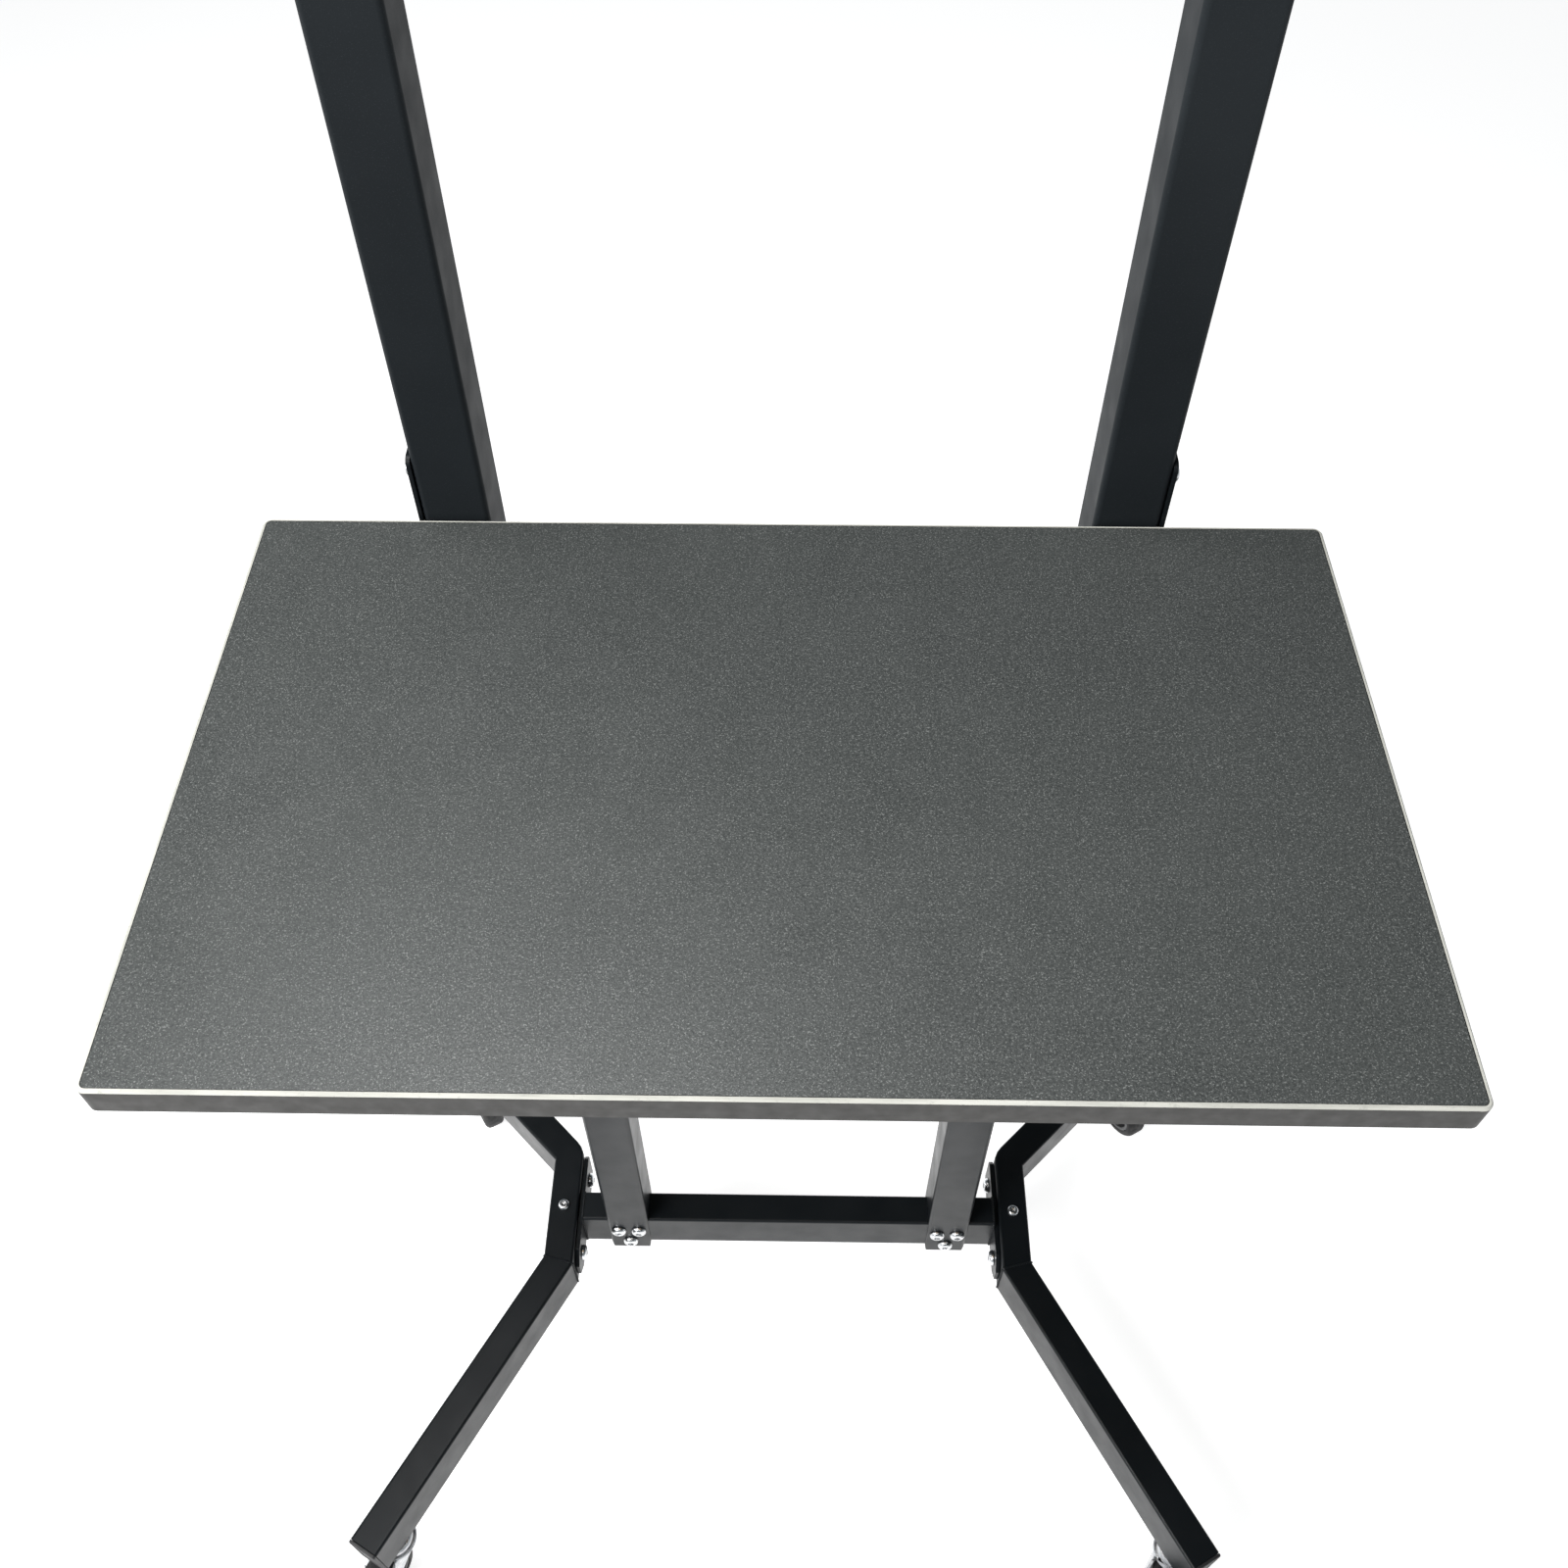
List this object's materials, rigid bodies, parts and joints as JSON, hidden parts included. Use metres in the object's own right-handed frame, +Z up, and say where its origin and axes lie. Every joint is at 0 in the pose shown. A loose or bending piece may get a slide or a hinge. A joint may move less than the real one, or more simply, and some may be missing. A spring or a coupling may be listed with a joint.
{
  "type": "tabletop easel",
  "caption": "Mobile easel table: a laminate worktop in front of two tall square steel posts, on a splayed steel base with swivel casters.",
  "frame": {"origin": "on the floor, under the middle of the easel's outer box at rest", "axes": "+Z up; the user stands at -Y and looks along +Y; +X is to the user's right"},
  "size_m": [0.7294, 0.5222, 1.5003],
  "materials": {
    "black_steel": "black powder coat, fine texture, satin",
    "laminate": "dark graphite laminate with a fine light fleck, satin",
    "edge_band": "warm grey edging strip with a pale bevelled top corner",
    "board_core": "raw chipboard",
    "screws": "bright zinc plate",
    "caster_steel": "zinc-plated pressed steel",
    "black_plastic": "moulded black plastic, lightly grained",
    "grey_plastic": "moulded dark grey plastic",
    "tyre": "dark soft tread"
  },
  "bodies": {
    "stand": {"crossbar": "black_steel", "left_arm": "black_steel", "left_arm_cap": "black_plastic", "left_column": "black_steel", "left_column_screw_1": "screws", "left_column_screw_2": "screws", "left_column_screw_3": "screws", "left_foot": "black_steel", "left_foot_top_screw": "screws", "left_front_caster_stem": "caster_steel", "left_front_end_plate_bolt": "screws", "left_front_foot_cap": "black_plastic", "left_lower_post_bolt": "screws", "left_post": "black_steel", "left_post_bottom_cap": "black_plastic", "left_post_top_cap": "black_plastic", "left_rear_caster_stem": "caster_steel", "left_rear_end_plate_bolt": "screws", "left_rear_foot_cap": "black_plastic", "left_upper_post_bolt": "screws", "right_arm": "black_steel", "right_arm_cap": "black_plastic", "right_column": "black_steel", "right_column_screw_1": "screws", "right_column_screw_2": "screws", "right_column_screw_3": "screws", "right_foot": "black_steel", "right_foot_top_screw": "screws", "right_front_caster_stem": "caster_steel", "right_front_end_plate_bolt": "screws", "right_front_foot_cap": "black_plastic", "right_lower_post_bolt": "screws", "right_post": "black_steel", "right_post_bottom_cap": "black_plastic", "right_post_top_cap": "black_plastic", "right_rear_caster_stem": "caster_steel", "right_rear_end_plate_bolt": "screws", "right_rear_foot_cap": "black_plastic", "right_upper_post_bolt": "screws", "top_rail": "black_steel", "worktop_board": "board_core", "worktop_edge_band": "edge_band", "worktop_laminate": "laminate", "worktop_rear_rail": "black_steel"},
    "left_rear_fork": {"left_rear_caster_fork": "caster_steel", "left_rear_caster_axle": "caster_steel"},
    "left_rear_wheel": {"left_rear_wheel_centre": "grey_plastic", "left_rear_wheel_tyre": "tyre"},
    "left_front_fork": {"left_front_caster_fork": "caster_steel", "left_front_caster_axle": "caster_steel"},
    "left_front_wheel": {"left_front_wheel_centre": "grey_plastic", "left_front_wheel_tyre": "tyre"},
    "right_rear_fork": {"right_rear_caster_fork": "caster_steel", "right_rear_caster_axle": "caster_steel"},
    "right_rear_wheel": {"right_rear_wheel_centre": "grey_plastic", "right_rear_wheel_tyre": "tyre"},
    "right_front_fork": {"right_front_caster_fork": "caster_steel", "right_front_caster_axle": "caster_steel"},
    "right_front_wheel": {"right_front_wheel_centre": "grey_plastic", "right_front_wheel_tyre": "tyre"}
  },
  "joints": [
    {"name": "left_rear_swivel", "type": "hinge", "parent": "stand", "child": "left_rear_fork", "pos_m": [-0.33, 0.23364, 0.062], "axis": [0, 0, 1], "continuous": true},
    {"name": "left_rear_roll", "type": "hinge", "parent": "left_rear_fork", "child": "left_rear_wheel", "pos_m": [-0.317, 0.21113, 0.029], "axis": [0.866, 0.5, 0], "continuous": true},
    {"name": "left_front_swivel", "type": "hinge", "parent": "stand", "child": "left_front_fork", "pos_m": [-0.33, -0.21045, 0.062], "axis": [0, 0, 1], "continuous": true},
    {"name": "left_front_roll", "type": "hinge", "parent": "left_front_fork", "child": "left_front_wheel", "pos_m": [-0.343, -0.23297, 0.029], "axis": [0.866, -0.5, 0], "continuous": true},
    {"name": "right_rear_swivel", "type": "hinge", "parent": "stand", "child": "right_rear_fork", "pos_m": [0.33, 0.23364, 0.062], "axis": [0, 0, 1], "continuous": true},
    {"name": "right_rear_roll", "type": "hinge", "parent": "right_rear_fork", "child": "right_rear_wheel", "pos_m": [0.343, 0.21113, 0.029], "axis": [0.866, 0.5, 0], "continuous": true},
    {"name": "right_front_swivel", "type": "hinge", "parent": "stand", "child": "right_front_fork", "pos_m": [0.33, -0.21045, 0.062], "axis": [0, 0, 1], "continuous": true},
    {"name": "right_front_roll", "type": "hinge", "parent": "right_front_fork", "child": "right_front_wheel", "pos_m": [0.317, -0.23297, 0.029], "axis": [0.866, -0.5, 0], "continuous": true}
  ]
}
